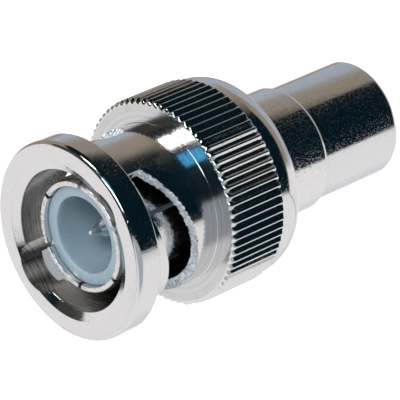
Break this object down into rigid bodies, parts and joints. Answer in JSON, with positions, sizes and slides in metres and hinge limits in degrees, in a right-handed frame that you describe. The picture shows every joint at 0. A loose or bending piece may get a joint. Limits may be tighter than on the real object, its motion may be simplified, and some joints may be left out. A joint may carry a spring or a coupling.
{
  "type": "bnc to rca adapter",
  "caption": "Coaxial adapter: a bayonet plug with a spring-loaded knurled coupling ring at one end, a round phono jack barrel at the other, in bright nickel plating.",
  "frame": {"origin": "centre of the RCA end face, on the adapter's axis", "axes": "+Z along the axis towards the bayonet mouth; +X through one of the two entry notches"},
  "size_m": [0.0144, 0.0144, 0.027],
  "materials": {
    "bright_nickel": "polished",
    "contact_metal": "satin",
    "cup_plastic": "satin",
    "bush_plastic": "satin",
    "seal_rubber": "matte",
    "spring_steel": "satin"
  },
  "bodies": {
    "adapter": {"plug_body": "bright_nickel", "bnc_insulator": "cup_plastic", "center_pin": "contact_metal", "face_gasket": "seal_rubber", "wave_washer": "spring_steel", "retaining_ring": "spring_steel", "rca_shell": "bright_nickel", "rca_insulator": "bush_plastic", "rca_contact": "contact_metal"},
    "thrust": {"thrust_washer": "spring_steel"},
    "ring": {"coupling_ring": "bright_nickel"}
  },
  "joints": [
    {"name": "ring_slide", "type": "slide", "parent": "adapter", "child": "thrust", "axis": [0, 0, 1], "range_m": [0, 0.0008], "stiffness_N_per_m": 6000, "springref_m": -0.0005, "deforming": ["wave_washer"]},
    {"name": "ring_turn", "type": "hinge", "parent": "thrust", "child": "ring", "pos_m": [0, 0, 0.0134], "axis": [0, 0, 1], "continuous": true}
  ]
}
